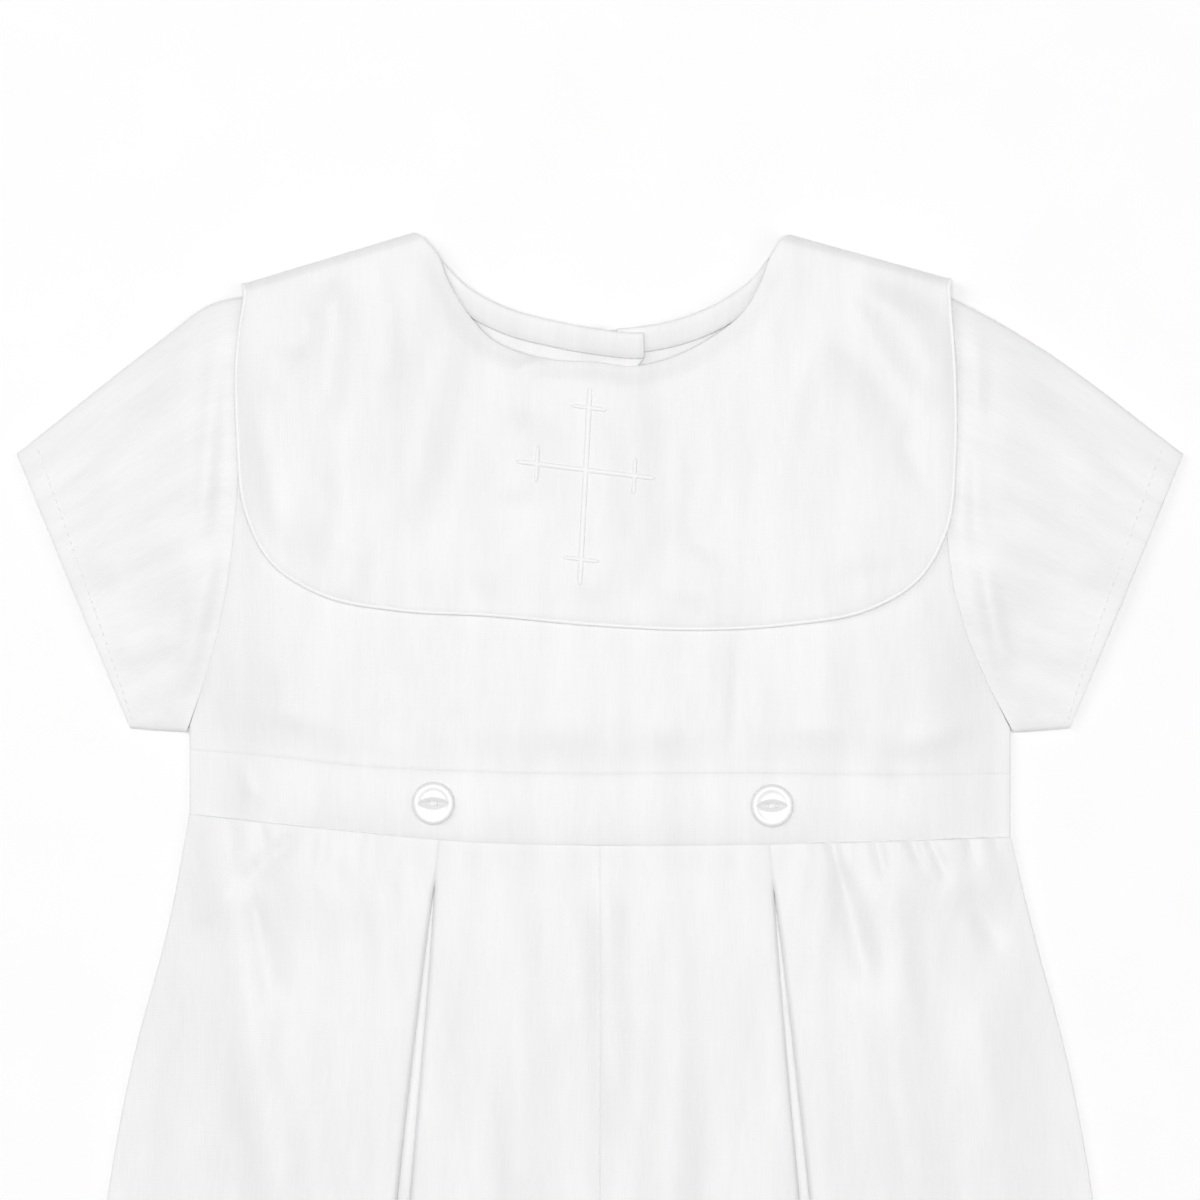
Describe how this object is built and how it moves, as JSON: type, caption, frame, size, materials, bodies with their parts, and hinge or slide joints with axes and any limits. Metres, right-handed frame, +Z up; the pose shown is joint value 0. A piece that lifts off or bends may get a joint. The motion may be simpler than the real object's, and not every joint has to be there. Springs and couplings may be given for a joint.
{
  "type": "baptism romper",
  "caption": "Baby's white baptism romper laid flat: wide piped bib collar with an embroidered cross, bloused bodice, buttoned waistband, pleated short trousers and short sleeves.",
  "frame": {"origin": "centre of the garment's bounding box, at the level of the surface that it lies on", "axes": "+Y from the leg hems to the neck, +Z up out of the garment's front, +X to the right as seen from above, which is the wearer's left"},
  "size_m": [0.3442, 0.4319, 0.0086],
  "materials": {
    "cloth": "matte",
    "piping": "satin",
    "button": "gloss"
  },
  "bodies": {
    "root": {"collar": "cloth", "collar_piping": "piping", "neck_band_left": "cloth", "neck_band_right": "cloth", "bodice_front": "cloth", "bodice_back_left": "cloth", "bodice_back_right": "cloth", "waistband_front": "cloth", "waistband_back": "cloth", "sleeve_left": "cloth", "sleeve_right": "cloth", "trouser_front_left": "cloth", "trouser_front_right": "cloth", "trouser_back_left": "cloth", "trouser_back_right": "cloth", "button_left": "button", "button_right": "button"}
  },
  "joints": []
}
